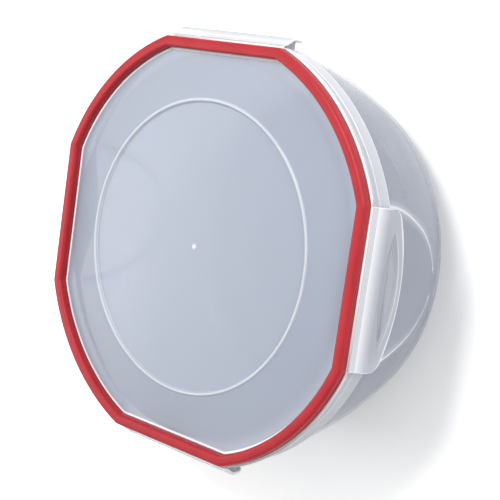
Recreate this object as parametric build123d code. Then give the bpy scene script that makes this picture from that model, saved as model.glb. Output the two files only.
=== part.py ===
"""Latching storage bowl: a round drafted bowl, a lid with an over-moulded seal, and four hinged latches.

The bowl stands on its foot ring. +Z is up, and the origin is under the centre of the foot.
The rim outline is a circle cut by four flats, and each flat carries one latch.
All sizes are in millimetres.
"""
from build123d import *
import math
import os

# Rim outline, measured at the outer edge of the seal band
RIM_R = 160.0          # radius of the four round stretches
FLAT_W = 150.0         # distance from the centre to each flat
BAND_FOOT_Z = 137.0    # height of the lid's deck, on which the seal band stands
KINK_R = 3.0           # radius of the corners between the arcs and the flats

# Bowl
WALL = 2.0
FOOT_Z = 2.4           # underside of the floor, above the table
FOOT_R_OUT = 101.5
FOOT_R_IN = 98.0
FLOOR_R = 104.15       # where the flat floor ends and the corner begins
CORNER_R = 35.0
LIP_OUT = 2.65         # set-back of the bowl's lip and neck from the rim outline
NECK_R = RIM_R - LIP_OUT
NECK_Z = BAND_FOOT_Z - 22.0
FACET_X_TOP = FLAT_W - LIP_OUT
FACET_DRAFT = 5.2      # degrees
FACET_BLEND = 8.0      # radius that blends each facet into the round body
SIDE_POINTS = ((137.2, 29.5), (148.6, 66.0))   # radius and height of two points up the round wall
FLANGE_TOP_Z = BAND_FOOT_Z - 9.4
FLANGE_LOW_Z = BAND_FOOT_Z - 21.0
FLANGE_T = 1.5
LIP_TOP_Z = BAND_FOOT_Z - 0.6

# Lid
DECK_T = 1.6
DECK_EDGE = -2.0       # the deck stands this far outside the round stretches of the rim outline
DECK_FLAT_EDGE = -0.3  # and this far outside its flats, where the hinges begin
SKIRT_IN = 1.5
SKIRT_LOW_Z = BAND_FOOT_Z - 9.0
CHANNEL_TOP_Z = BAND_FOOT_Z + 5.4
CHANNEL_OUT = 1.3      # set-back of the channel's outer face from the rim outline
CHANNEL_IN = 6.8
CHANNEL_WALL = 1.3
PLUG_LOW_Z = BAND_FOOT_Z - 7.5
RING_R = 107.5
RING_RISE = 6.4        # height of the stacking ring over the deck
RING_W = 2.6
RECESS = 2.4           # the middle of the lid lies this far under the ring

# Seal
BAND_W = 8.1
BAND_H = 7.0
BAND_ROUND = 2.6       # radius of the band's two upper edges
BEAD_LOW_Z = LIP_TOP_Z
POSTS_PER_ARC = 3
POST_R = 1.0

# Latch, given for the one on +X
LATCH_HALF = 55.5
WEB_T = 0.5
WEB_Z = BAND_FOOT_Z - 0.4
WEB_X0 = FLAT_W - DECK_FLAT_EDGE
WEB_X1 = 151.4         # the hinge turns about the middle of the strip between these two
LATCH_T = 1.8
SHOULDER_X = 158.7     # outer face of the flap where its shoulder ends
SHOULDER_Z = BAND_FOOT_Z - 10.4
FREE_X = 157.9         # outer face of the hanging part
FREE_Z = BAND_FOOT_Z - 36.0
FREE_R = 118.0         # bow of the free edge
FREE_CORNER_R = 12.0
SCOOP_DEPTH = 2.2
SCOOP_Z = BAND_FOOT_Z - 20.0
SCOOP_HALF = 41.0
SCOOP_UP = 7.6
SCOOP_DOWN = 11.4
HOOK_HALF = 46.0
HOOK_TIP_X = 148.7
HOOK_TOP_Z = FLANGE_LOW_Z - 0.3
HOOK_T = 1.6
SNAP_X = 150.6         # the flexing snap lip reaches from here inward

SIDES = {"right": 0, "back": 90, "left": 180, "front": 270}


def outline(setback, flat_setback=None):
    """The rim outline moved inward by setback: a circle cut by four flats, with rounded corners."""
    side = 2 * (FLAT_W - (setback if flat_setback is None else flat_setback))
    shape = make_face(Circle(RIM_R - setback).edges()) & Rectangle(side, side)
    return fillet(shape.vertices(), KINK_R)


def band(outer, inner, low, high):
    """A ring that follows the rim outline between two set-backs and two heights."""
    face = outline(outer) - outline(inner)
    return extrude(Pos(0, 0, low) * face, high - low)


def arc_point(inset):
    """The 45-degree point of the corner arc, moved inward along its normal."""
    radius = CORNER_R - inset
    centre_z = FOOT_Z + CORNER_R
    lean = math.sqrt(0.5)
    return (FLOOR_R + radius * lean, centre_z - radius * lean)


def round_body(inset):
    """The bowl's round body up to the neck, solid and moved inward by inset."""
    centre_z = FOOT_Z + CORNER_R
    radius = CORNER_R - inset
    start = arc_point(inset)
    floor_z = FOOT_Z + inset
    low = (FLOOR_R, floor_z)
    middle = (FLOOR_R + radius * math.sin(math.pi / 8), centre_z - radius * math.cos(math.pi / 8))
    side = [(r - inset, z) for r, z in SIDE_POINTS]
    neck = (NECK_R - inset, NECK_Z)
    with BuildSketch(Plane.XZ) as section:
        with BuildLine():
            Line((0, floor_z), low)
            ThreePointArc(low, middle, start)
            Spline([start, *side, neck], tangents=[(1, 1), (0.07, 1)])
            Line(neck, (0, NECK_Z))
            Line((0, NECK_Z), (0, floor_z))
        make_face()
    return Rot(0, 0, 45) * revolve(section.sketch, Axis.Z)


def facet_block(inset):
    """The four drafted facets as one block: what lies inside them stays."""
    draft = math.tan(math.radians(FACET_DRAFT))
    over = 10.0
    low_half = FACET_X_TOP - inset - NECK_Z * draft
    high_half = FACET_X_TOP - inset + over * draft
    lower = Rectangle(2 * low_half, 2 * low_half)
    upper = Pos(0, 0, NECK_Z + over) * Rectangle(2 * high_half, 2 * high_half)
    return loft([lower.face(), upper.face()], ruled=True)


def faceted_body(inset):
    """The round body cut by the facets, with each arched edge blended."""
    body = round_body(inset) & facet_block(inset)
    arches = [e for e in body.edges() if e.bounding_box().size.Z > 40]
    return fillet(arches, FACET_BLEND)


def make_bowl():
    """The bowl: a turned body cut by four drafted facets, with a lip, a turned-down rim and a foot ring."""
    body = faceted_body(0) + extrude(Pos(0, 0, NECK_Z) * outline(LIP_OUT), LIP_TOP_Z - NECK_Z)
    cavity = faceted_body(WALL) + extrude(Pos(0, 0, NECK_Z) * outline(LIP_OUT + WALL), 40)
    body = body - cavity
    body += band(0, LIP_OUT + 0.5, FLANGE_TOP_Z - FLANGE_T, FLANGE_TOP_Z)
    body += band(0, FLANGE_T, FLANGE_LOW_Z, FLANGE_TOP_Z)
    foot = Circle(FOOT_R_OUT) - Circle(FOOT_R_IN)
    return body + extrude(foot, FOOT_Z + 0.5)


def make_lid():
    """The lid: a panel that rises to the stacking ring, a hollow raised rim, a skirt and a plug lip."""
    crest = BAND_FOOT_Z + RING_RISE
    disc = crest - RECESS
    inner = FLAT_W - BAND_W - 0.5
    ring_in = RING_R - RING_W / 2
    ring_out = RING_R + RING_W / 2
    with BuildSketch(Plane.XZ) as section:
        with BuildLine():
            Polyline((0, disc), (ring_in - 0.8, disc), (ring_in, crest - 0.9))
            ThreePointArc((ring_in, crest - 0.9), (RING_R, crest), (ring_out, crest - 0.9))
            Polyline(
                (ring_out, crest - 0.9),
                (inner, BAND_FOOT_Z),
                (RIM_R, BAND_FOOT_Z),
                (RIM_R, BAND_FOOT_Z - DECK_T),
                (inner, BAND_FOOT_Z - DECK_T),
                (ring_out, crest - 1.2 - DECK_T),
                (ring_in - 1.6, disc - DECK_T),
                (0, disc - DECK_T),
                (0, disc),
            )
        make_face()
    panel = revolve(section.sketch, Axis.Z)
    panel = panel & extrude(Pos(0, 0, BAND_FOOT_Z - 20) * outline(CHANNEL_IN - 0.2), 40)
    deck_face = outline(DECK_EDGE, DECK_FLAT_EDGE) - outline(CHANNEL_OUT + CHANNEL_WALL)
    deck = extrude(Pos(0, 0, BAND_FOOT_Z - DECK_T) * deck_face, DECK_T)
    outer_leg = band(CHANNEL_OUT, CHANNEL_OUT + CHANNEL_WALL, BAND_FOOT_Z - 0.2, CHANNEL_TOP_Z)
    inner_leg = band(CHANNEL_IN - CHANNEL_WALL, CHANNEL_IN, PLUG_LOW_Z, CHANNEL_TOP_Z)
    roof = band(CHANNEL_OUT, CHANNEL_IN, CHANNEL_TOP_Z - CHANNEL_WALL, CHANNEL_TOP_Z)
    skirt = band(0, SKIRT_IN, SKIRT_LOW_Z, BAND_FOOT_Z - 0.2)
    lid = panel + deck + outer_leg + inner_leg + roof + skirt
    lid += Pos(0, 0, disc) * Cylinder(1.6, 1.2)
    return lid - posts()


def posts():
    """The posts that join the seal's two halves through the roof of the raised rim."""
    radius = RIM_R - (CHANNEL_OUT + CHANNEL_IN) / 2
    height = CHANNEL_WALL + 1.0
    middle = CHANNEL_TOP_Z - CHANNEL_WALL / 2
    post = Pos(0, 0, middle) * Cylinder(POST_R, height)
    group = Part()
    for quarter in range(4):
        for step in range(POSTS_PER_ARC):
            angle = 45 + 90 * quarter + 16 * (step - (POSTS_PER_ARC - 1) / 2)
            group += Rot(0, 0, angle) * Pos(radius, 0, 0) * post
    return group


def make_gasket():
    """The seal: a band over the raised rim and a bead inside it, joined by posts through its roof."""
    cap = band(0, BAND_W, BAND_FOOT_Z, BAND_FOOT_Z + BAND_H)
    cap -= band(CHANNEL_OUT, CHANNEL_IN, BAND_FOOT_Z - 1, CHANNEL_TOP_Z)
    rounded = [e for e in cap.edges() if e.center().Z > BAND_FOOT_Z + BAND_H - 0.01]
    cap = fillet(rounded, BAND_ROUND)
    bead_high = CHANNEL_TOP_Z - CHANNEL_WALL
    bead = band(CHANNEL_OUT + CHANNEL_WALL, CHANNEL_IN - CHANNEL_WALL, BEAD_LOW_Z, bead_high)
    return cap + bead + posts()


def flap_section():
    """Section of a latch flap in the XZ plane: hinge bead, sloping shoulder and hanging part."""
    top = BAND_FOOT_Z
    bead = (WEB_X1 + 1.1, top - 0.2)
    waist = (WEB_X1 + 2.0, top - 2.6)
    shoulder = (SHOULDER_X, SHOULDER_Z)
    inner_shoulder = (SHOULDER_X - LATCH_T - 0.2, SHOULDER_Z - 0.8)
    with BuildSketch(Plane.XZ) as section:
        with BuildLine():
            Polyline(
                (WEB_X1, top - 1.0),
                (WEB_X1, top - 0.1),
                bead,
                waist,
                shoulder,
                (FREE_X, SCOOP_Z),
                (FREE_X, FREE_Z - 4),
                (FREE_X - LATCH_T, FREE_Z - 4),
                (FREE_X - LATCH_T, SCOOP_Z),
                inner_shoulder,
                (WEB_X1 + 0.9, top - 3.6),
                (WEB_X1, top - 1.0),
            )
        make_face()
        for point, radius in ((bead, 0.5), (waist, 1.2), (shoulder, 3.0), (inner_shoulder, 2.0)):
            fillet(section.vertices().sort_by_distance((*point, 0))[0], radius)
    return section.sketch


def free_edge_shape():
    """What the flap looks like from outside, as a face in the YZ plane: square top and bowed bottom."""
    high = BAND_FOOT_Z + 3
    drop = FREE_R - math.sqrt(FREE_R**2 - LATCH_HALF**2)
    with BuildSketch(Plane.YZ) as shape:
        with BuildLine():
            Line((-LATCH_HALF, high), (LATCH_HALF, high))
            Line((LATCH_HALF, high), (LATCH_HALF, FREE_Z + drop))
            ThreePointArc((LATCH_HALF, FREE_Z + drop), (0, FREE_Z), (-LATCH_HALF, FREE_Z + drop))
            Line((-LATCH_HALF, FREE_Z + drop), (-LATCH_HALF, high))
        make_face()
        low_corners = shape.vertices().sort_by(Axis.Z)[:2]
        fillet(low_corners, FREE_CORNER_R)
    return shape.sketch


def lens_shape(shrink):
    """The lens-shaped outline of the finger scoop, as a face in the YZ plane."""
    left = (-SCOOP_HALF + 2 * shrink, SCOOP_Z)
    right = (SCOOP_HALF - 2 * shrink, SCOOP_Z)
    with BuildSketch(Plane.YZ) as shape:
        with BuildLine():
            ThreePointArc(left, (0, SCOOP_Z + SCOOP_UP - shrink), right)
            ThreePointArc(right, (0, SCOOP_Z - SCOOP_DOWN + shrink), left)
        make_face()
    return shape.sketch


def make_latch():
    """One latch on +X, hanging closed: a flap with a finger scoop in its face and a hook shelf behind it."""
    flap = extrude(flap_section(), LATCH_HALF, both=True)
    flap = flap & extrude(Pos(140, 0, 0) * free_edge_shape(), 30)
    scoop_out = loft([
        (Pos(FREE_X + 0.6, 0, 0) * lens_shape(0)).face(),
        (Pos(FREE_X - SCOOP_DEPTH, 0, 0) * lens_shape(2.4)).face(),
    ])
    scoop_in = loft([
        (Pos(FREE_X + 0.6 - LATCH_T, 0, 0) * lens_shape(-0.8)).face(),
        (Pos(FREE_X - SCOOP_DEPTH - LATCH_T, 0, 0) * lens_shape(1.6)).face(),
    ])
    latch = flap + scoop_in - scoop_out
    shelf_z = HOOK_TOP_Z - HOOK_T / 2
    shelf_reach = SHOULDER_X - 1.0 - SNAP_X
    shelf = Pos(SNAP_X + shelf_reach / 2, 0, shelf_z) * Box(shelf_reach, 2 * HOOK_HALF, HOOK_T)
    return latch + (shelf - scoop_out)


def make_snap_lip():
    """The thin lip at the tip of the hook shelf, which flexes as it snaps under the bowl's rim."""
    low = HOOK_TOP_Z - HOOK_T
    with BuildSketch(Plane.XZ) as section:
        with BuildLine():
            Polyline(
                (SNAP_X, low),
                (SNAP_X, HOOK_TOP_Z),
                (HOOK_TIP_X + 0.4, HOOK_TOP_Z),
                (HOOK_TIP_X, HOOK_TOP_Z - 0.5),
                (HOOK_TIP_X + 0.7, low),
                (SNAP_X, low),
            )
        make_face()
    return extrude(section.sketch, HOOK_HALF, both=True)


def make_web():
    """One living hinge on +X: a thin strip between the lid's deck and the latch."""
    width = WEB_X1 - WEB_X0
    middle = Pos((WEB_X0 + WEB_X1) / 2, 0, WEB_Z)
    return middle * Box(width, 2 * LATCH_HALF, WEB_T)


def save(shape, name):
    """Write one piece, named after its node."""
    export_step(shape, os.path.join("parts", name + ".step"))


os.makedirs("parts", exist_ok=True)
save(make_bowl(), "bowl")
save(make_lid(), "lid")
save(make_gasket(), "gasket")
latch = make_latch()
snap_lip = make_snap_lip()
web = make_web()
for side, angle in SIDES.items():
    turn = Rot(0, 0, angle)
    save(turn * latch, "latch_" + side)
    save(turn * snap_lip, "snap_lip_" + side)
    save(turn * web, "hinge_web_" + side)
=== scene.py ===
"""Looks of the latching storage bowl: smooth mouldings, materials, hinge strips, light and camera.

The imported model's frame is kept: +Z up, origin under the foot. Named sizes are in millimetres.
"""
import math

import bmesh
import bpy
from mathutils import Matrix, Vector


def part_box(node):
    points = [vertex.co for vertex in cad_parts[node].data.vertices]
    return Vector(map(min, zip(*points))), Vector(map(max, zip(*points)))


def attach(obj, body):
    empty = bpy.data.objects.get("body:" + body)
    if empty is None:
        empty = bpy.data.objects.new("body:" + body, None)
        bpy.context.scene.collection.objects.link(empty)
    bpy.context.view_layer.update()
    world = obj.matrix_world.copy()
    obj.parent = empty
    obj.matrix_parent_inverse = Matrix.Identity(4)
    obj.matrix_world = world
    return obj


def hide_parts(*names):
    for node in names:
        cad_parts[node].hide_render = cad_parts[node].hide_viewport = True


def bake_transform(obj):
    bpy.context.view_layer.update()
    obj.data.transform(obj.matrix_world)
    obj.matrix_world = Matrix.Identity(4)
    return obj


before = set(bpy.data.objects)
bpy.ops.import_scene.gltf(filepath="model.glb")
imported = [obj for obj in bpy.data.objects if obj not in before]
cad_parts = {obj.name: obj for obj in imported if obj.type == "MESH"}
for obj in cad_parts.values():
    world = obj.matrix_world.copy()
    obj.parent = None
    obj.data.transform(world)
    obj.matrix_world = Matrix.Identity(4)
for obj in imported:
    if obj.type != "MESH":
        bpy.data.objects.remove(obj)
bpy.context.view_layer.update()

MM = 0.001

# The photograph's camera, recovered from the rim outline and the rings
CAMERA_PLACE = Vector((640.2, 123.7, 804.4)) * MM
CAMERA_LOOKS = Vector((-0.6563, -0.1294, -0.7433))
PHOTO_UP = Vector((-0.1901, 0.9818, -0.0031))
CAMERA_LENS = 91.48
SENSOR = 36.0

# The object's driving sizes, as in the CAD source. Beads, nub, whiteness and fine slopes, each
# named as such, are the scene's own, and the latch's shoulder stands 0.3 further in than the CAD's.
RIM_R = 160.0          # radius of the rim's round stretches
FLAT_W = 150.0         # distance from the centre to each flat of the rim
KINK_R = 3.0           # radius of the corners between them
DECK_Z = 137.0         # top of the lid's deck, on which the band stands
WALL = 2.0
FOOT_Z = 2.4
FOOT_R_OUT = 101.5
FOOT_R_IN = 98.0
FLOOR_R = 104.15
CORNER_R = 35.0
LIP_OUT = 2.65
NECK_R = RIM_R - LIP_OUT
NECK_Z = DECK_Z - 22.0
NECK_SLOPE = 0.07
FACET_X_TOP = FLAT_W - LIP_OUT
FACET_DRAFT = 5.2
FACET_BLEND = 8.0
SIDE_POINTS = ((137.2, 29.5), (148.6, 66.0))
FLANGE_TOP_Z = DECK_Z - 9.4
FLANGE_LOW_Z = DECK_Z - 21.0
FLANGE_T = 1.5
FLANGE_WHITE = 0.45    # how white the rim is, where the plastic is doubled
LIP_TOP_Z = DECK_Z - 0.6
DECK_T = 1.6
DECK_EDGE = -2.0
DECK_FLAT_EDGE = -0.3
SKIRT_IN = 1.5
SKIRT_LOW_Z = DECK_Z - 9.0
CHANNEL_TOP_Z = DECK_Z + 5.4
CHANNEL_OUT = 1.3
CHANNEL_IN = 6.8
CHANNEL_WALL = 1.3
PLUG_LOW_Z = DECK_Z - 7.5
LID_EDGE_WHITE = 0.4
DECK_BEAD = 0.35       # height of the bead on the deck inside the seal, which carries a painted white highlight
DECK_INNER = 10.3      # where the deck begins, inward of the rim outline
MIDDLE_R = 60          # a row across the flat middle of the floor and of the lid
RING_R = 107.5
RING_RISE = 6.4
RING_HALF = 1.3
RECESS = 2.4
NUB_H = 0.5            # the moulding nub at the lid's centre
NUB_EDGE = 0.7
RING_BEAD_H = 0.9      # height of the rounded bead on the stacking ring
BAND_W = 8.1
BAND_H = 7.0
BAND_ROUND = 2.6       # radius of the band's two upper edges
LATCH_HALF = 55.5
LATCH_X0 = 151.4       # inner edge of the latch, at its hinge
LATCH_T = 1.8
LATCH_BEAD = 0.25      # how far the rounded edge of a latch stands proud of its face
SHOULDER_X = 158.4     # so far in that the bead on the latch's edge stays in the CAD's box
SHOULDER_Z = DECK_Z - 10.4
FACE_TOP_Z = SHOULDER_Z - 0.8
FREE_X = 157.9
FREE_Z = DECK_Z - 36.0
FREE_R = 118.0
FREE_CORNER_R = 12.0
SCOOP_DEPTH = 2.2
SCOOP_Z = DECK_Z - 20.0
SCOOP_HALF = 41.0
SCOOP_UP = 7.6
SCOOP_DOWN = 11.4
SCOOP_SLOPE_UP = 5.0   # how wide the scoop's gentle upper slope is
SCOOP_SLOPE_DOWN = 2.2
SCOOP_LIP_HIGHLIGHT = 0.75  # painted highlight on the scoop's lower lip, at its middle
HINGE_LINE_HIGHLIGHT = 0.7        # painted highlight lines beside the hinge
ROWS_BELOW_SCOOP = 7
HOOK_HALF = 46.0
HOOK_TOP_Z = FLANGE_LOW_Z - 0.3
HOOK_T = 1.6
SNAP_X = 150.6
HINGE_GROOVE = 0.08    # depth of the fine grooves along a hinge strip
# Where a latch's free edge begins to turn up its corner
CORNER_Y = (LATCH_HALF - FREE_CORNER_R) * FREE_R / (FREE_R - FREE_CORNER_R)

# How finely an eighth of the rim outline is divided: flat, corner and arc
FLAT_STEPS = 10
CORNER_STEPS = 6
ARC_STEPS = 14
CREASE_LEAST = math.radians(2.5)
CREASE_HIGHLIGHT = 0.8      # painted highlight on the arched edge of a facet
CREASE_SIDE_HIGHLIGHT = 0.22     # fainter painted highlight on the wall beside it

# Where a latch's columns cross its finger scoop, as shares of the scoop's height
LENS_SHARES = (0, 0.03, 0.07, 0.12, 0.18, 0.26, 0.38, 0.5, 0.62, 0.74, 0.82, 0.88, 0.93, 0.97, 1)

# Painted white highlight and denser plastic along a thick or exposed edge, and the gloss of plastic
# and rubber
EDGE_HIGHLIGHT_COLOUR = (0.97, 0.975, 0.99)
EDGE_ALPHA = 0.95
GLOSS = 0.35

LAMPS_LOOK_AT = Vector((0, 0, 0.08))
FLOOR_SIZE = 6.0
# The floor's glow is weaker near the object: a painted shade around it that deepens its shadow
FLOOR_GLOW = 0.2       # what the camera sees on the floor beside the light that falls on it
FAR_GLOW = 0.66        # the same far from the object, where the floor is plain white
SHADOW_NEAR = 0.13     # where the floor begins to turn white, and where it is, in metres
SHADOW_FAR = 0.32
WORLD_LIGHT = 0.41
SIDES = {"right": 0, "back": 90, "left": 180, "front": 270}


def add_camera():
    """A camera at the photograph's place, rolled as the photograph is."""
    back = -CAMERA_LOOKS.normalized()
    right = PHOTO_UP.cross(back).normalized()
    up = back.cross(right)
    data = bpy.data.cameras.new("camera")
    data.lens = CAMERA_LENS
    data.sensor_width = SENSOR
    data.clip_start = 0.05
    data.clip_end = 50
    camera = bpy.data.objects.new("camera", data)
    turn = Matrix((right, up, back)).transposed().to_4x4()
    camera.matrix_world = Matrix.Translation(CAMERA_PLACE) @ turn
    bpy.context.scene.collection.objects.link(camera)
    bpy.context.scene.camera = camera


def add_area(name, place, size, power):
    """A soft square white lamp that looks at the middle of the object."""
    data = bpy.data.lights.new(name, "AREA")
    data.shape = "SQUARE"
    data.size = size
    data.energy = power
    lamp = bpy.data.objects.new(name, data)
    place = Vector(place)
    lamp.location = place
    lamp.rotation_mode = "QUATERNION"
    lamp.rotation_quaternion = (LAMPS_LOOK_AT - place).to_track_quat("-Z", "Y")
    bpy.context.scene.collection.objects.link(lamp)


def new_material(name):
    """An empty node material: its tree and its Principled shader."""
    material = bpy.data.materials.new(name)
    material.use_nodes = True
    tree = material.node_tree
    shader = tree.nodes["Principled BSDF"]
    return material, tree, shader


def noise(tree, scale, detail=3.0):
    """A noise texture in real size, and its output."""
    place = tree.nodes.new("ShaderNodeTexCoord")
    node = tree.nodes.new("ShaderNodeTexNoise")
    node.inputs["Scale"].default_value = scale
    node.inputs["Detail"].default_value = detail
    tree.links.new(place.outputs["Object"], node.inputs["Vector"])
    return node.outputs["Fac"]


def ramp(tree, source, stops):
    """A colour ramp over a value, with its stops as (position, colour)."""
    node = tree.nodes.new("ShaderNodeValToRGB")
    elements = node.color_ramp.elements
    while len(elements) < len(stops):
        elements.new(0.5)
    for element, (position, colour) in zip(elements, stops):
        element.position = position
        element.color = (*colour, 1)
    tree.links.new(source, node.inputs["Fac"])
    return node.outputs["Color"]


def remap(tree, source, low, high):
    """A value between low and high, by a source between 0 and 1."""
    node = tree.nodes.new("ShaderNodeMapRange")
    node.inputs["To Min"].default_value = low
    node.inputs["To Max"].default_value = high
    tree.links.new(source, node.inputs["Value"])
    return node.outputs["Result"]


def bump(tree, source, distance, strength, shader):
    """A bump from a height value, in metres."""
    node = tree.nodes.new("ShaderNodeBump")
    node.inputs["Distance"].default_value = distance
    node.inputs["Strength"].default_value = strength
    tree.links.new(source, node.inputs["Height"])
    tree.links.new(node.outputs["Normal"], shader.inputs["Normal"])


def radius_at(angle, radius, half_width, rounding):
    """How far a rounded outline is from the axis, in a direction measured from a flat's middle."""
    if radius <= half_width:
        return radius
    centre_x = half_width - rounding
    centre_y = math.sqrt((radius - rounding) ** 2 - centre_x**2)
    if angle <= math.atan2(centre_y, half_width):
        return half_width / math.cos(angle)
    if angle >= math.atan2(centre_y, centre_x):
        return radius
    along = centre_x * math.cos(angle) + centre_y * math.sin(angle)
    return along + math.sqrt(along**2 - centre_x**2 - centre_y**2 + rounding**2)


def octant(radius, half_width, rounding):
    """Directions from a flat's middle to 45 degrees, crowded where the outline turns its corner."""
    first = CREASE_LEAST
    last = 2 * CREASE_LEAST
    if radius > half_width:
        centre_x = half_width - rounding
        centre_y = math.sqrt((radius - rounding) ** 2 - centre_x**2)
        first = max(first, math.atan2(centre_y, half_width))
        last = max(last, first + 0.01, math.atan2(centre_y, centre_x))
    angles = [first * i / FLAT_STEPS for i in range(FLAT_STEPS)]
    angles += [first + (last - first) * i / CORNER_STEPS for i in range(CORNER_STEPS)]
    angles += [last + (math.pi / 4 - last) * i / ARC_STEPS for i in range(ARC_STEPS + 1)]
    return angles


def loop_points(row):
    """The points of one row, once around the axis."""
    z, radius, half_width, rounding, _ = row
    if half_width is None:
        angles = octant(RIM_R, FLAT_W, KINK_R)
        reach = [radius] * len(angles)
    else:
        angles = octant(radius, half_width, rounding)
        reach = [radius_at(angle, radius, half_width, rounding) for angle in angles]
    half = list(zip(angles, reach))
    quarter = [(-angle, r) for angle, r in reversed(half)] + half[1:-1]
    points = []
    for turn in range(4):
        for angle, r in quarter:
            around = angle + turn * math.pi / 2
            points.append((r * math.cos(around) * MM, r * math.sin(around) * MM, z * MM))
    return points


def loop_edge_highlights(row):
    """The painted edge-highlight values of one row's points: a body row has a painted highlight at
    each crease of its facets.
    """
    _, radius, half_width, rounding, edge = row
    count = 2 * (FLAT_STEPS + CORNER_STEPS + ARC_STEPS)
    values = [edge] * count
    if rounding == FACET_BLEND and radius > half_width:
        for i in range(CORNER_STEPS + 1):
            crest = math.sin(math.pi * i / CORNER_STEPS)
            step = FLAT_STEPS + i
            values[count // 2 + step] = CREASE_SIDE_HIGHLIGHT + (CREASE_HIGHLIGHT - CREASE_SIDE_HIGHLIGHT) * crest
            values[count // 2 - step] = CREASE_SIDE_HIGHLIGHT + (CREASE_HIGHLIGHT - CREASE_SIDE_HIGHLIGHT) * crest
    return values * 4


def rim_row(setback, z, edge=0.0, flat_setback=None):
    """A row that follows the rim outline, moved inward by a set-back."""
    flat = setback if flat_setback is None else flat_setback
    return (z, RIM_R - setback, FLAT_W - flat, KINK_R, edge)


def round_row(radius, z, edge=0.0):
    """A circular row."""
    return (z, radius, None, None, edge)


def body_row(z, inset):
    """A row of the bowl's body: its round wall cut by the four drafted facets."""
    half_width = FACET_X_TOP - (NECK_Z - z) * math.tan(math.radians(FACET_DRAFT))
    return (z, wall_radius(z, inset), half_width - inset, FACET_BLEND, 0.0)


def wall_radius(z, inset):
    """Radius of the round wall's outside, or of a surface inset from it, above its lower corner."""
    lean = (CORNER_R - inset) * math.sqrt(0.5)
    points = [(FLOOR_R + lean, FOOT_Z + CORNER_R - lean)]
    points += [(radius - inset, height) for radius, height in (*SIDE_POINTS, (NECK_R, NECK_Z))]
    slopes = [1.0]
    for before, here, after in zip(points, points[1:], points[2:]):
        slopes.append((after[0] - before[0]) / (after[1] - before[1]))
    slopes.append(NECK_SLOPE)
    for (r0, z0), (r1, z1), m0, m1 in zip(points, points[1:], slopes, slopes[1:]):
        if z <= z1:
            h = z1 - z0
            t = (z - z0) / h
            rise = (1 + 2 * t) * (1 - t) ** 2 * r0 + t * (1 - t) ** 2 * h * m0
            return rise + t * t * (3 - 2 * t) * r1 + t * t * (t - 1) * h * m1
    return NECK_R - inset


def soften(rows, size, steps=3):
    """Rounds each corner between rows, and holds the long stretches beside it straight."""
    out = [rows[0]]
    for before, here, after in zip(rows, rows[1:], rows[2:]):
        ends = []
        for other in (before, after):
            reach = math.hypot(other[0] - here[0], other[1] - here[1])
            ends.append((min(size / reach, 0.45), min(1.8 * size / reach, 0.48), other))
        (cut_in, hold_in, _), (cut_out, hold_out, _) = ends
        out.append(faded(between(here, before, hold_in), hold_in))
        start = between(here, before, cut_in)
        end = between(here, after, cut_out)
        for i in range(steps + 1):
            t = i / steps
            out.append(between(between(start, here, t), between(here, end, t), t))
        out.append(faded(between(here, after, hold_out), hold_out))
    out.append(rows[-1])
    return out


def faded(row, share):
    """A row beside a corner: on a long stretch it has left the corner's edge behind."""
    return row if share > 0.3 else (*row[:4], 0.0)


def whitened(rows, radius, least):
    """Rows whose parts outside a radius are at least so white: there the plastic is doubled."""
    return [(*row[:4], max(row[4], least)) if row[1] > radius else row for row in rows]


def between(one, other, share):
    """A row between two rows."""
    mixed = []
    for a, b in zip(one, other):
        mixed.append(a if a is None or b is None else a + (b - a) * share)
    return tuple(mixed)


def loft(name, rows, closed=False):
    """A mesh through rows that all run once around the axis. Closed: the last row joins the first."""
    verts = []
    edges = []
    starts = []
    columns = None
    for row in rows:
        starts.append(len(verts))
        if row[1] == 0:
            verts.append((0, 0, row[0] * MM))
            edges.append(row[4])
            continue
        points = loop_points(row)
        columns = len(points)
        verts += points
        edges += loop_edge_highlights(row)
    faces = []
    pairs = list(zip(range(len(rows)), range(1, len(rows))))
    if closed:
        pairs.append((len(rows) - 1, 0))
    for i, j in pairs:
        for k in range(columns):
            n = (k + 1) % columns
            if rows[i][1] == 0:
                faces.append((starts[i], starts[j] + k, starts[j] + n))
            elif rows[j][1] == 0:
                faces.append((starts[i] + n, starts[i] + k, starts[j]))
            else:
                faces.append((starts[i] + k, starts[j] + k, starts[j] + n, starts[i] + n))
    return add_piece(name, verts, faces, edges)


def add_piece(name, verts, faces, edges):
    """A smooth mesh object whose points carry their share of painted white highlight and density, near
    a thick or exposed edge.
    """
    mesh = bpy.data.meshes.new(name)
    mesh.from_pydata(verts, [], faces)
    layer = mesh.attributes.new("edge", "FLOAT", "POINT")
    layer.data.foreach_set("value", edges)
    work = bmesh.new()
    work.from_mesh(mesh)
    bmesh.ops.recalc_face_normals(work, faces=work.faces)
    work.to_mesh(mesh)
    work.free()
    mesh.shade_smooth()
    piece = bpy.data.objects.new(name, mesh)
    bpy.context.scene.collection.objects.link(piece)
    return piece


def corner_rows(inset, steps=10):
    """Rows up the arc between the bowl's floor and its wall, without the arc's last point."""
    rows = []
    for i in range(steps):
        angle = math.pi / 4 * i / steps
        radius = CORNER_R - inset
        height = FOOT_Z + CORNER_R - radius * math.cos(angle)
        rows.append(round_row(FLOOR_R + radius * math.sin(angle), height))
    return rows


def wall_rows(inset, steps=46):
    """Rows up the drafted wall, from the corner's arc to the neck."""
    low = FOOT_Z + CORNER_R - (CORNER_R - inset) * math.sqrt(0.5)
    rows = []
    for i in range(steps + 1):
        z = low + (NECK_Z - low) * i / steps
        rows.append(body_row(z, inset))
    return rows


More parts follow.
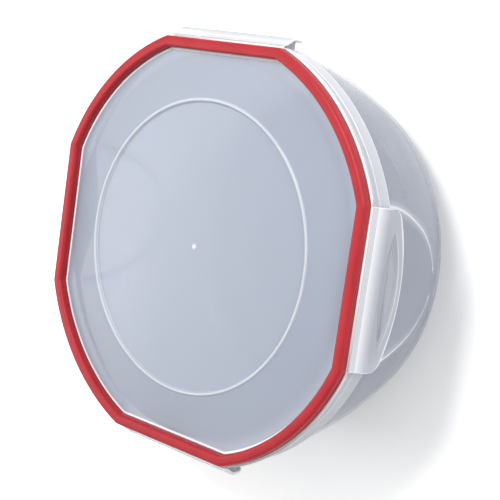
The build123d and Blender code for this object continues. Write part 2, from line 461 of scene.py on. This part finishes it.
def make_bowl():
    """The bowl: floor, foot ring, faceted wall, turned-down rim and upright lip, in one skin."""
    # The last value of a row is its painted white edge highlight, here on the foot's lower edges and
    # the rim's edges
    foot = soften([
        round_row(MIDDLE_R, FOOT_Z),
        round_row(FOOT_R_IN, FOOT_Z),
        round_row(FOOT_R_IN, 0, 0.6),
        round_row(FOOT_R_OUT, 0, 0.6),
        round_row(FOOT_R_OUT, FOOT_Z),
        round_row(FLOOR_R - 0.1, FOOT_Z),
    ], 0.6)
    flange_root = FLANGE_TOP_Z - FLANGE_T
    rim = soften([
        rim_row(LIP_OUT, NECK_Z + 0.6),
        rim_row(LIP_OUT, flange_root),
        rim_row(FLANGE_T, flange_root),
        rim_row(FLANGE_T, FLANGE_LOW_Z, 1.0),
        rim_row(0, FLANGE_LOW_Z, 1.0),
        rim_row(0, FLANGE_TOP_Z, 0.9),
        rim_row(LIP_OUT, FLANGE_TOP_Z),
        rim_row(LIP_OUT, LIP_TOP_Z, 0.6),
        rim_row(LIP_OUT + WALL, LIP_TOP_Z, 0.6),
        rim_row(LIP_OUT + WALL, NECK_Z + 0.6),
    ], 0.4)
    rim = whitened(rim, RIM_R - LIP_OUT + 0.1, FLANGE_WHITE)
    inside = list(reversed(corner_rows(WALL) + wall_rows(WALL)))
    rows = [round_row(0, FOOT_Z), *foot, *corner_rows(0), *wall_rows(0), *rim, *inside]
    rows += [round_row(MIDDLE_R, FOOT_Z + WALL), round_row(0, FOOT_Z + WALL)]
    return loft("bowl_moulding", rows)


def make_lid():
    """The lid: panel, stacking ring, hollow raised rim, deck, skirt and plug lip, in one skin."""
    crest = DECK_Z + RING_RISE
    disc = crest - RECESS
    # The last value of a row is its painted white highlight, on the ring's crest, the bead inside the
    # seal and the rim's edges
    nub = [
        round_row(0, disc + NUB_H, NUB_EDGE),
        round_row(1.2, disc + NUB_H, NUB_EDGE),
        round_row(1.6, disc + 0.6 * NUB_H, NUB_EDGE),
        round_row(1.8, disc, 0.4),
        round_row(3, disc),
        round_row(MIDDLE_R, disc),
    ]
    ring = [round_row(RING_R - RING_HALF - 1.6, disc), round_row(RING_R - RING_HALF - 0.9, disc)]
    bead_z = crest - RING_BEAD_H
    ring.append(round_row(RING_R - RING_HALF - 0.2, bead_z - 0.6, 0.3))
    # The ring's bead gets a painted highlight, whitest at its crest
    for i in range(9):
        angle = math.pi * i / 8
        radius = RING_R - RING_HALF * math.cos(angle)
        height = bead_z + RING_BEAD_H * math.sin(angle)
        ring.append(round_row(radius, height, 0.15 + 0.3 * math.sin(angle)))
    slope = (bead_z - DECK_Z) / (FLAT_W - BAND_W - 0.5 - RING_R - RING_HALF)
    for radius in (109.4, 112, 124, 138, 139.2):
        ring.append(round_row(radius, bead_z - slope * (radius - RING_R - RING_HALF)))
    under = DECK_Z - DECK_T
    roof = CHANNEL_TOP_Z - CHANNEL_WALL
    rim = soften([
        rim_row(DECK_INNER, DECK_Z),
        rim_row(DECK_INNER - 0.8, DECK_Z + DECK_BEAD, 1.0),
        rim_row(DECK_INNER - 1.6, DECK_Z + DECK_BEAD, 1.0),
        rim_row(CHANNEL_IN, DECK_Z, 1.0),
        rim_row(CHANNEL_IN, CHANNEL_TOP_Z),
        rim_row(CHANNEL_OUT, CHANNEL_TOP_Z),
        rim_row(CHANNEL_OUT, DECK_Z, 1.0),
        rim_row(DECK_EDGE / 3, DECK_Z + 0.1, 1.0, DECK_FLAT_EDGE / 3),
        rim_row(DECK_EDGE, DECK_Z, 0.6, DECK_FLAT_EDGE),
        rim_row(DECK_EDGE, under, 0.8, DECK_FLAT_EDGE),
        rim_row(0, under, 0.0),
        rim_row(0, SKIRT_LOW_Z, 1.0),
        rim_row(SKIRT_IN, SKIRT_LOW_Z, 0.8),
        rim_row(SKIRT_IN, under),
        rim_row(CHANNEL_OUT + CHANNEL_WALL, under),
        rim_row(CHANNEL_OUT + CHANNEL_WALL, roof),
        rim_row(CHANNEL_IN - CHANNEL_WALL, roof),
        rim_row(CHANNEL_IN - CHANNEL_WALL, PLUG_LOW_Z, 0.6),
        rim_row(CHANNEL_IN, PLUG_LOW_Z, 0.6),
        rim_row(CHANNEL_IN, under),
        rim_row(DECK_INNER, under),
    ], 0.25)
    rim = whitened(rim, RIM_R - CHANNEL_OUT - CHANNEL_WALL, LID_EDGE_WHITE)
    below = [
        round_row(139.5, under + 0.3),
        round_row(112, bead_z - 1.6 - slope * 2.6),
        round_row(RING_R - RING_HALF - 1.6, disc - DECK_T),
        round_row(MIDDLE_R, disc - DECK_T),
        round_row(0, disc - DECK_T),
    ]
    return loft("lid_moulding", nub + ring + rim + below)


def make_band():
    """The seal's outer band: a rounded cap over the lid's raised rim."""
    top = DECK_Z + BAND_H
    outside = soften([
        rim_row(0, DECK_Z + 0.1),
        rim_row(0, top),
        rim_row(BAND_W, top),
        rim_row(BAND_W, DECK_Z + 0.1),
    ], BAND_ROUND, 6)
    inside = soften([
        rim_row(BAND_W - 0.2, DECK_Z),
        rim_row(CHANNEL_IN, DECK_Z),
        rim_row(CHANNEL_IN, CHANNEL_TOP_Z),
        rim_row(CHANNEL_OUT, CHANNEL_TOP_Z),
        rim_row(CHANNEL_OUT, DECK_Z),
        rim_row(0.2, DECK_Z),
    ], 0.1, 1)
    return loft("seal_band", outside + inside, closed=True)


def make_bead():
    """The seal's inner bead, which the bowl's lip meets."""
    low = LIP_TOP_Z
    high = CHANNEL_TOP_Z - CHANNEL_WALL
    out = CHANNEL_OUT + CHANNEL_WALL
    into = CHANNEL_IN - CHANNEL_WALL
    rows = [rim_row(out, low + 0.4), rim_row(out, high), rim_row(into, high), rim_row(into, low + 0.4)]
    rows += [rim_row(into - 0.4, low), rim_row(out + 0.4, low)]
    return loft("seal_bead", rows, closed=True)


def latch_heights(y):
    """Heights down one column of a latch: shoulder, scoop and free edge."""
    low = FREE_Z + FREE_R - math.sqrt(FREE_R**2 - y**2)
    inner_y = LATCH_HALF - FREE_CORNER_R
    corner_z = FREE_Z + FREE_R - math.sqrt((FREE_R - FREE_CORNER_R) ** 2 - inner_y**2)
    if abs(y) > CORNER_Y:
        low = corner_z - math.sqrt(max(0.0, FREE_CORNER_R**2 - (abs(y) - inner_y) ** 2))
    start = FACE_TOP_Z
    share = 1 - (y / SCOOP_HALF) ** 2
    middle = SCOOP_Z
    if share < 0:
        tip_low = FREE_Z + FREE_R - math.sqrt(FREE_R**2 - SCOOP_HALF**2)
        middle = start + (low - start) * (start - SCOOP_Z) / (start - tip_low)
        share = 0
    gap = 0.05 * (start - low)
    lens_high = middle + max(gap, SCOOP_UP * share)
    lens_low = middle - max(gap, SCOOP_DOWN * share)
    heights = [start + (lens_high - start) * i / 6 for i in range(6)]
    heights += [lens_high + (lens_low - lens_high) * part for part in LENS_SHARES]
    drop = (low - lens_low) / ROWS_BELOW_SCOOP
    heights += [lens_low + drop * i for i in range(1, ROWS_BELOW_SCOOP + 1)]
    return heights


def scoop_depth(y, z):
    """How deep the finger scoop is at a place on the latch's face."""
    share = 1 - (y / SCOOP_HALF) ** 2
    if share <= 0:
        return 0.0
    high = (SCOOP_Z + SCOOP_UP * share - z) / SCOOP_SLOPE_UP
    low = (z - SCOOP_Z + SCOOP_DOWN * share) / SCOOP_SLOPE_DOWN
    t = min(1.0, max(0.0, min(high, low)))
    return SCOOP_DEPTH * t * t * (3 - 2 * t)


def make_latch(side, angle):
    """One latch: hinge bead, shoulder, hanging flap with a finger scoop, and hook shelf."""
    shoulder = soften([
        (DECK_Z - 0.15, LATCH_X0 + 0.1, 0, 0, 0.8),
        (DECK_Z - 0.2, LATCH_X0 + 1.1, 0, 0, 0.8),
        (DECK_Z - 2.6, LATCH_X0 + 2.0, 0, 0, 0.2),
        (SHOULDER_Z, SHOULDER_X, 0, 0, 0.0),
        (FACE_TOP_Z, SHOULDER_X - 0.07, 0, 0, 0.0),
    ], 0.6, 3)
    inner_y = LATCH_HALF - FREE_CORNER_R
    first = math.asin((CORNER_Y - inner_y) / FREE_CORNER_R)
    right = []
    for i in range(1, 9):
        turn = first + (math.pi / 2 - first) * i / 8
        right.append(inner_y + FREE_CORNER_R * math.sin(turn))
    count = 60
    middle = [CORNER_Y * (2 * i / count - 1) for i in range(count + 1)]
    columns = [-y for y in reversed(right)] + middle + right
    grid = []
    for y in columns:
        column = [(row[1], row[0]) for row in shoulder[:-1]]
        for z in latch_heights(y):
            t = min(1.0, max(0.0, (SHOULDER_Z - z) / (SHOULDER_Z - SCOOP_Z)))
            column.append((SHOULDER_X + (FREE_X - SHOULDER_X) * t, z))
        grid.append(column)
    verts = []
    edges = []
    rows = len(grid[0])
    last = len(columns) - 1
    lip_row = rows - 1 - ROWS_BELOW_SCOOP
    # The outer skin, and then the inner one behind it
    for layer in range(2):
        for i, (y, column) in enumerate(zip(columns, grid)):
            for j, (x, z) in enumerate(column):
                ahead = column[min(j + 1, rows - 1)]
                behind = column[max(j - 1, 0)]
                length = math.hypot(ahead[0] - behind[0], ahead[1] - behind[1])
                normal_x = (behind[1] - ahead[1]) / length
                normal_z = (ahead[0] - behind[0]) / length
                thick = LATCH_T * min(1.0, 0.35 + (DECK_Z - z) / 6)
                depth = scoop_depth(y, z) + thick * layer
                if layer == 0 and z < FACE_TOP_Z and (i in (1, last - 1) or j == rows - 2):
                    depth -= LATCH_BEAD
                verts.append(((x - normal_x * depth) * MM, y * MM, (z - normal_z * depth) * MM))
                # Painted white highlights along the latch's ends and free edge, on every other row of
                # the shoulder, and along the scoop's lower lip
                rim = i in (0, 1, last - 1, last) or j > rows - 3
                edge = HINGE_LINE_HIGHLIGHT if j < len(shoulder) - 6 and j % 2 == 0 else 0.0
                if j == lip_row:
                    edge = SCOOP_LIP_HIGHLIGHT * math.sqrt(max(0.0, 1 - (y / SCOOP_HALF) ** 2))
                edges.append(1.0 if rim else edge)
    size = len(columns) * rows
    faces = []
    for i in range(last):
        for j in range(rows - 1):
            a = i * rows + j
            faces.append((a, a + 1, a + rows + 1, a + rows))
            faces.append((size + a, size + a + rows, size + a + rows + 1, size + a + 1))
    # What closes the two skins at the hinge and the free edge, and at the two ends
    for i in range(last):
        for j in (0, rows - 1):
            a = i * rows + j
            faces.append((a, a + rows, size + a + rows, size + a))
    for j in range(rows - 1):
        for i in (0, last):
            a = i * rows + j
            faces.append((a, a + 1, size + a + 1, size + a))
    shelf_high = HOOK_TOP_Z
    shelf_low = HOOK_TOP_Z - HOOK_T
    base = len(verts)
    for x in (SNAP_X, FREE_X - LATCH_T + 0.1):
        for y, z in ((-1, shelf_low), (1, shelf_low), (1, shelf_high), (-1, shelf_high)):
            verts.append((x * MM, y * HOOK_HALF * MM, z * MM))
            edges.append(0.0)
    for face in ((0, 1, 2, 3), (4, 7, 6, 5), (0, 4, 5, 1), (1, 5, 6, 2), (2, 6, 7, 3), (3, 7, 4, 0)):
        faces.append(tuple(base + k for k in face))
    piece = add_piece("latch_moulding_" + side, verts, faces, edges)
    piece.data.transform(Matrix.Rotation(math.radians(angle), 4, "Z"))
    return piece


def edge_highlight_mask(tree):
    """How much painted white highlight and density a point gets near a thick or exposed edge, from the
    mesh.
    """
    node = tree.nodes.new("ShaderNodeAttribute")
    node.attribute_name = "edge"
    return node.outputs["Fac"]


def mix_colour(tree, share, one, other):
    """A colour between two others."""
    node = tree.nodes.new("ShaderNodeMix")
    node.data_type = "RGBA"
    tree.links.new(share, node.inputs["Factor"])
    tree.links.new(one, node.inputs["A"])
    node.inputs["B"].default_value = (*other, 1)
    return node.outputs["Result"]


def clear_plastic(name, alpha, pale, deep, rough):
    """Translucent moulded plastic: clear in thin walls, denser along its edges, and painted white
    there as a highlight.
    """
    material, tree, shader = new_material(name)
    cloud = noise(tree, 4.0, 1.0)
    colour = ramp(tree, cloud, [(0.0, deep), (1.0, pale)])
    edge = edge_highlight_mask(tree)
    # Painted highlight: the edge mask turns the colour toward white, and below it makes the plastic
    # denser
    colour = mix_colour(tree, edge, colour, EDGE_HIGHLIGHT_COLOUR)
    tree.links.new(colour, shader.inputs["Base Color"])
    dull = remap(tree, noise(tree, 30.0, 1.0), rough[0], rough[1])
    tree.links.new(dull, shader.inputs["Roughness"])
    bump(tree, noise(tree, 900.0, 1.0), 0.00002, 0.08, shader)
    tree.links.new(remap(tree, edge, alpha, EDGE_ALPHA), shader.inputs["Alpha"])
    shader.inputs["IOR"].default_value = 1.49
    shader.inputs["Specular IOR Level"].default_value = GLOSS
    return material


def red_rubber():
    """The seal's red elastomer: satin, with a fine moulded grain."""
    material, tree, shader = new_material("seal_red")
    reds = [(0.3, (0.36, 0.009, 0.016)), (0.7, (0.41, 0.012, 0.021))]
    colour = ramp(tree, noise(tree, 60.0), reds)
    tree.links.new(colour, shader.inputs["Base Color"])
    tree.links.new(remap(tree, noise(tree, 400.0), 0.42, 0.55), shader.inputs["Roughness"])
    bump(tree, noise(tree, 1500.0, 2.0), 0.0001, 0.25, shader)
    shader.inputs["IOR"].default_value = 1.5
    shader.inputs["Specular IOR Level"].default_value = GLOSS
    return material


def sight(tree):
    """1 for what the camera sees, directly, in a gloss or through a clear surface, and 0 for light."""
    seen = tree.nodes.new("ShaderNodeLightPath")
    total = seen.outputs["Is Camera Ray"]
    for kind in ("Is Glossy Ray", "Is Transmission Ray"):
        node = tree.nodes.new("ShaderNodeMath")
        node.operation = "MAXIMUM"
        tree.links.new(total, node.inputs[0])
        tree.links.new(seen.outputs[kind], node.inputs[1])
        total = node.outputs[0]
    return total


def floor_material():
    """A white floor that the camera sees as plain white, apart from the object's shadow and a painted
    shade near the object, where its glow is weaker.
    """
    material, tree, shader = new_material("floor_white")
    tree.nodes.remove(shader)
    output = tree.nodes["Material Output"]
    matt = tree.nodes.new("ShaderNodeBsdfDiffuse")
    matt.inputs["Color"].default_value = (0.85, 0.85, 0.85, 1)
    glow = tree.nodes.new("ShaderNodeEmission")
    place = tree.nodes.new("ShaderNodeTexCoord")
    away = tree.nodes.new("ShaderNodeVectorMath")
    away.operation = "LENGTH"
    tree.links.new(place.outputs["Object"], away.inputs[0])
    # Painted shade: the glow falls off toward the object
    paler = tree.nodes.new("ShaderNodeMapRange")
    paler.inputs["From Min"].default_value = SHADOW_NEAR
    paler.inputs["From Max"].default_value = SHADOW_FAR
    paler.inputs["To Min"].default_value = FLOOR_GLOW
    paler.inputs["To Max"].default_value = FAR_GLOW
    tree.links.new(away.outputs["Value"], paler.inputs["Value"])
    strength = tree.nodes.new("ShaderNodeMath")
    strength.operation = "MULTIPLY"
    tree.links.new(sight(tree), strength.inputs[0])
    tree.links.new(paler.outputs["Result"], strength.inputs[1])
    tree.links.new(strength.outputs[0], glow.inputs["Strength"])
    both = tree.nodes.new("ShaderNodeAddShader")
    tree.links.new(matt.outputs[0], both.inputs[0])
    tree.links.new(glow.outputs[0], both.inputs[1])
    tree.links.new(both.outputs[0], output.inputs["Surface"])
    return material


def add_floor():
    """The floor on which the bowl stands."""
    half = FLOOR_SIZE / 2
    mesh = bpy.data.meshes.new("floor")
    corners = [(-half, -half, 0), (half, -half, 0), (half, half, 0), (-half, half, 0)]
    mesh.from_pydata(corners, [], [(0, 1, 2, 3)])
    floor = bpy.data.objects.new("floor", mesh)
    mesh.materials.append(floor_material())
    bpy.context.scene.collection.objects.link(floor)


def add_light():
    """An even white world, a key lamp above, a fill from the camera's side, and a sheen on the lid."""
    world = bpy.data.worlds.new("world")
    bpy.context.scene.world = world
    world.use_nodes = True
    background = world.node_tree.nodes["Background"]
    background.inputs["Color"].default_value = (1, 1, 1, 1)
    tree = world.node_tree
    tree.links.new(remap(tree, sight(tree), WORLD_LIGHT, 1.0), background.inputs["Strength"])
    add_area("key", (0.15, 0.65, 1.3), 0.35, 14)
    add_area("fill", (1.25, 0.5, 0.7), 0.7, 6.5)
    add_area("sheen", (-1.8, -0.3, 1.6), 0.8, 12)


def paint(node, material):
    """Gives a CAD node its material."""
    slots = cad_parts[node].data.materials
    slots.clear()
    slots.append(material)


def hinge_strip(side, angle, material):
    """The living hinge of one latch: a thin grooved strip between the lid's deck and the latch."""
    # Measured on the right, and turned to the other sides
    low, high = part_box("hinge_web_right")
    steps = 8
    verts = []
    for i in range(steps + 1):
        x = low.x + (high.x - low.x) * i / steps
        top = high.z - HINGE_GROOVE * MM * (i % 2)
        for y, z in ((low.y, low.z), (low.y, top), (high.y, top), (high.y, low.z)):
            verts.append((x, y, z))
    faces = [(0, 1, 2, 3), tuple(4 * steps + k for k in (3, 2, 1, 0))]
    for i in range(steps):
        for k in range(4):
            a = 4 * i + k
            b = 4 * i + (k + 1) % 4
            faces.append((a, a + 4, b + 4, b))
    # The whole strip is painted white as a highlight, against the shade beside the seal
    strip = add_piece("hinge_strip_" + side, verts, faces, [1.0] * len(verts))
    strip.data.transform(Matrix.Rotation(math.radians(angle), 4, "Z"))
    strip.data.materials.append(material)
    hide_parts("hinge_web_" + side)
    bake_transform(strip)


def dress(piece, material, body, node):
    """Gives a made piece its material, and lets it stand for a CAD node."""
    piece.data.materials.append(material)
    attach(piece, body)
    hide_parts(node)


add_camera()
add_floor()
add_light()

# Name, opacity of a plain wall, paler and deeper colour, and least and greatest roughness
bowl_plastic = clear_plastic(
    "bowl_plastic", 0.45, (0.48, 0.51, 0.60), (0.46, 0.495, 0.59), (0.12, 0.14)
)
lid_plastic = clear_plastic(
    "lid_plastic", 0.56, (0.44, 0.48, 0.57), (0.42, 0.465, 0.56), (0.27, 0.29)
)
latch_plastic = clear_plastic(
    "latch_plastic", 0.64, (0.59, 0.605, 0.67), (0.57, 0.59, 0.66), (0.24, 0.26)
)
rubber = red_rubber()

bowl = make_bowl()
dress(bowl, bowl_plastic, "bowl", "bowl")
lid = make_lid()
dress(lid, lid_plastic, "lid", "lid")
for part in (make_band(), make_bead()):
    dress(part, rubber, "lid", "gasket")
for side, angle in SIDES.items():
    latch = make_latch(side, angle)
    dress(latch, latch_plastic, "latch_" + side, "latch_" + side)
    paint("snap_lip_" + side, latch_plastic)
    hinge_strip(side, angle, latch_plastic)

bpy.context.scene.view_settings.view_transform = "Standard"
